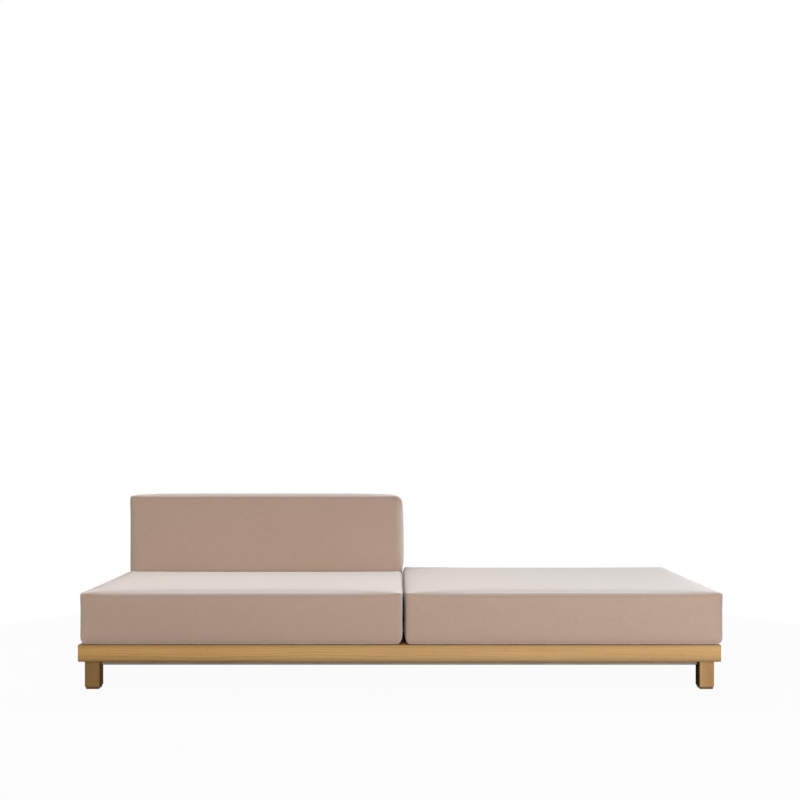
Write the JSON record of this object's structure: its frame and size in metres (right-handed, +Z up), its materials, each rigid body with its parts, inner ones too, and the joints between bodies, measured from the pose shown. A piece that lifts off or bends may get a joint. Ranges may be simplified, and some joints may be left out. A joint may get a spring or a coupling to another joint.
{
  "type": "platform divan",
  "caption": "Low timber platform divan on short square legs: a slatted deck carries loose box seat cushions and a half-length back cushion that leans on a low rear frame.",
  "frame": {"origin": "on the floor, under the middle of the whole part's box", "axes": "+X to the right along the length, the front faces -Y, +Z up"},
  "size_m": [2.0109, 0.8048, 0.5823],
  "materials": {
    "timber": "satin",
    "cover_fabric": "matte",
    "foam": "matte",
    "zip": "matte",
    "steel": "satin",
    "glide_plastic": "matte"
  },
  "bodies": {
    "frame": {"back_frame_left_post": "timber", "back_frame_low_rail": "timber", "back_frame_right_post": "timber", "back_frame_top_rail": "timber", "centre_bearer": "timber", "front_bearer": "timber", "front_left_glide": "glide_plastic", "front_left_leg": "timber", "front_left_leg_screw_1": "steel", "front_left_leg_screw_2": "steel", "front_rail": "timber", "front_right_glide": "glide_plastic", "front_right_leg": "timber", "front_right_leg_screw_1": "steel", "front_right_leg_screw_2": "steel", "left_end_rail": "timber", "rear_bearer": "timber", "rear_left_glide": "glide_plastic", "rear_left_leg": "timber", "rear_left_leg_screw_1": "steel", "rear_left_leg_screw_2": "steel", "rear_rail": "timber", "rear_right_glide": "glide_plastic", "rear_right_leg": "timber", "rear_right_leg_screw_1": "steel", "rear_right_leg_screw_2": "steel", "right_end_rail": "timber", "slat_01": "timber", "slat_02": "timber", "slat_03": "timber", "slat_04": "timber", "slat_05": "timber", "slat_06": "timber", "slat_07": "timber", "slat_08": "timber", "slat_09": "timber", "slat_10": "timber", "slat_11": "timber", "slat_12": "timber", "slat_13": "timber", "slat_14": "timber", "slat_15": "timber", "slat_16": "timber", "slat_17": "timber", "slat_18": "timber"},
    "left_seat": {"left_seat_cover": "cover_fabric", "left_seat_foam": "foam", "left_seat_zip": "zip"},
    "left_seat_slider": {"left_seat_zip_slider": "steel"},
    "right_seat": {"right_seat_cover": "cover_fabric", "right_seat_foam": "foam", "right_seat_zip": "zip"},
    "right_seat_slider": {"right_seat_zip_slider": "steel"},
    "back_cushion": {"back_cushion_cover": "cover_fabric", "back_cushion_foam": "foam", "back_cushion_zip": "zip"},
    "back_cushion_slider": {"back_cushion_zip_slider": "steel"}
  },
  "joints": [
    {"name": "left_seat_lift", "type": "slide", "parent": "frame", "child": "left_seat", "axis": [0, 0, 1], "range_m": [0, 0.46]},
    {"name": "left_seat_zip_travel", "type": "slide", "parent": "left_seat", "child": "left_seat_slider", "axis": [1, 0, 0], "range_m": [0, 0.683]},
    {"name": "right_seat_lift", "type": "slide", "parent": "frame", "child": "right_seat", "axis": [0, 0, 1], "range_m": [0, 0.46]},
    {"name": "right_seat_zip_travel", "type": "slide", "parent": "right_seat", "child": "right_seat_slider", "axis": [1, 0, 0], "range_m": [0, 0.671]},
    {"name": "back_cushion_lift", "type": "slide", "parent": "frame", "child": "back_cushion", "axis": [0, 0, 1], "range_m": [0, 0.46]},
    {"name": "back_cushion_zip_travel", "type": "slide", "parent": "back_cushion", "child": "back_cushion_slider", "axis": [1, 0, 0], "range_m": [0, 0.691]}
  ]
}
